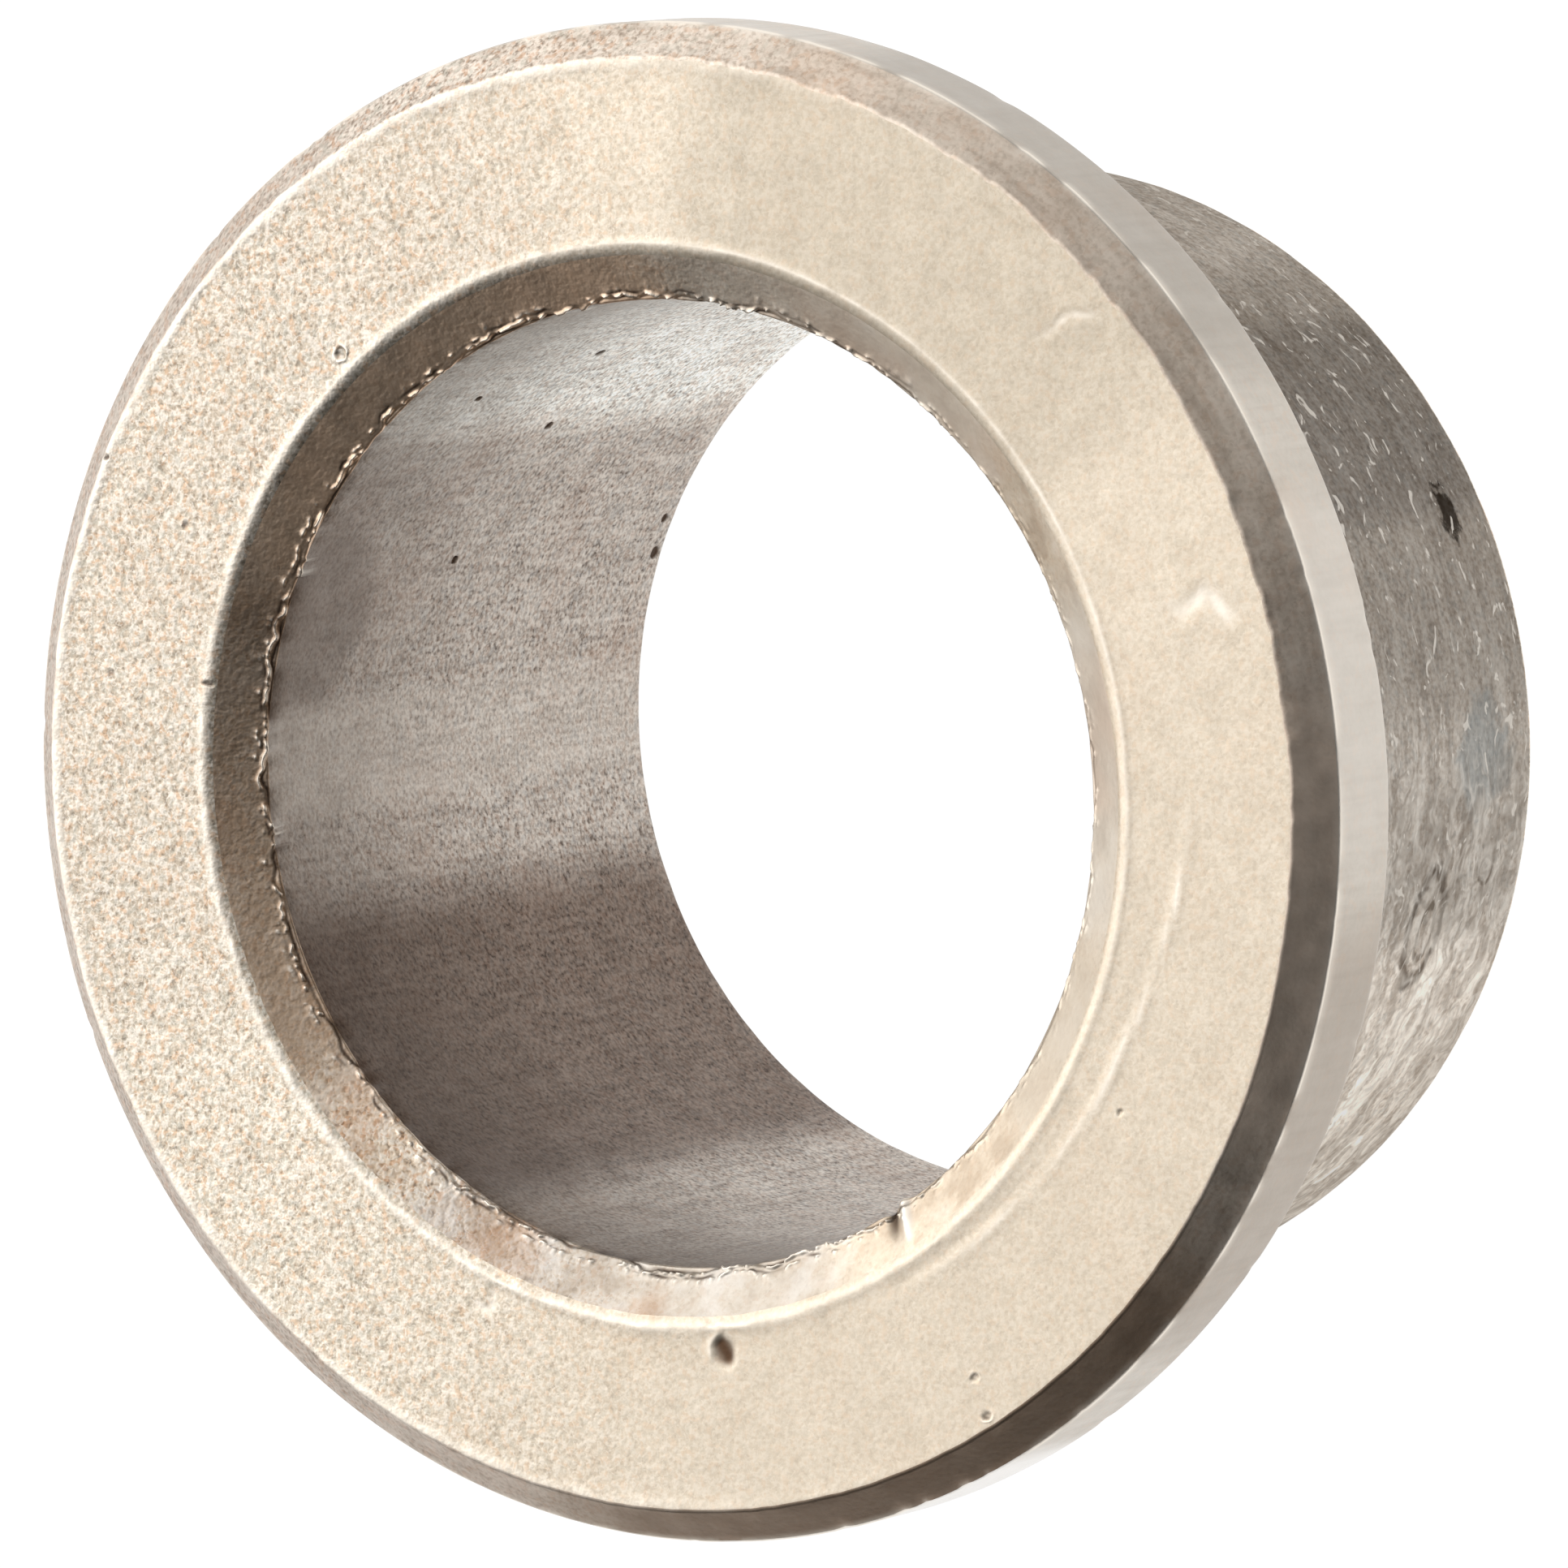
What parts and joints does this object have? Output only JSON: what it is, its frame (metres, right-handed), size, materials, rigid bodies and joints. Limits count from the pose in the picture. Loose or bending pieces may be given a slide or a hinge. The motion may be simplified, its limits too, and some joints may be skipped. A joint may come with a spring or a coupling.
{
  "type": "flanged sleeve bushing",
  "caption": "Plain sintered-bronze sleeve bushing with a round flange at one end, a smooth through bore and chamfered edges.",
  "frame": {"origin": "on the bore axis, in the plane of the flange's seating face, which is the face that meets the housing", "axes": "+Z along the bore axis, out of the housing: the flange with its thrust face lies above the origin and the sleeve below it; X and Y are free, because the piece is round"},
  "size_m": [0.035, 0.035, 0.0175],
  "materials": {
    "sintered_bronze": "satin, as sintered and sized"
  },
  "bodies": {
    "root": {"flanged_bushing": "sintered_bronze"}
  },
  "joints": []
}
